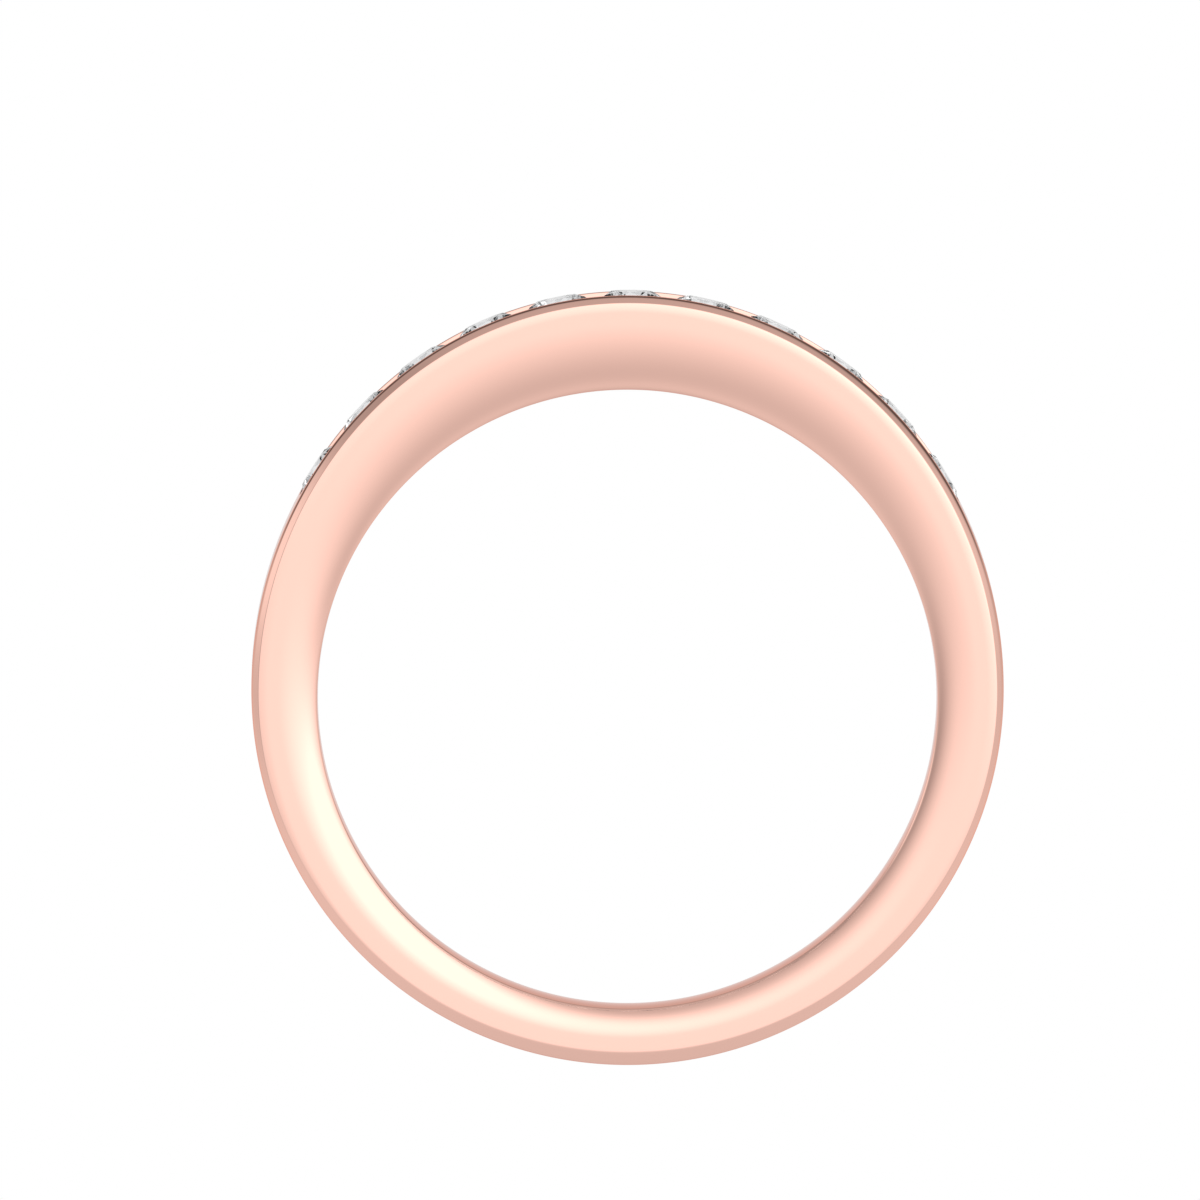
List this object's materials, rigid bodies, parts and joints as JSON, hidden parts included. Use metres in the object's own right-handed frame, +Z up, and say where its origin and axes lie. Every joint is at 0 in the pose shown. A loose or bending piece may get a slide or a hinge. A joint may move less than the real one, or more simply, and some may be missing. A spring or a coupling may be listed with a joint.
{
  "type": "wedding band",
  "caption": "Half-eternity wedding band: rose gold with bevelled flat sides, a comfort-fit bore and a channel of round brilliants across the top.",
  "frame": {"origin": "centre of the finger hole, midway between the side faces", "axes": "+Y along the finger, +Z up to the middle stone, +X to the right when the ring is seen along +Y"},
  "size_m": [0.021, 0.0028, 0.0217],
  "materials": {
    "rose_gold": "high polish",
    "diamond": "polished facets"
  },
  "bodies": {
    "root": {"band": "rose_gold", "diamond_01": "diamond", "diamond_02": "diamond", "diamond_03": "diamond", "diamond_04": "diamond", "diamond_05": "diamond", "diamond_06": "diamond", "diamond_07": "diamond", "diamond_08": "diamond", "diamond_09": "diamond", "diamond_10": "diamond", "diamond_11": "diamond"}
  },
  "joints": []
}
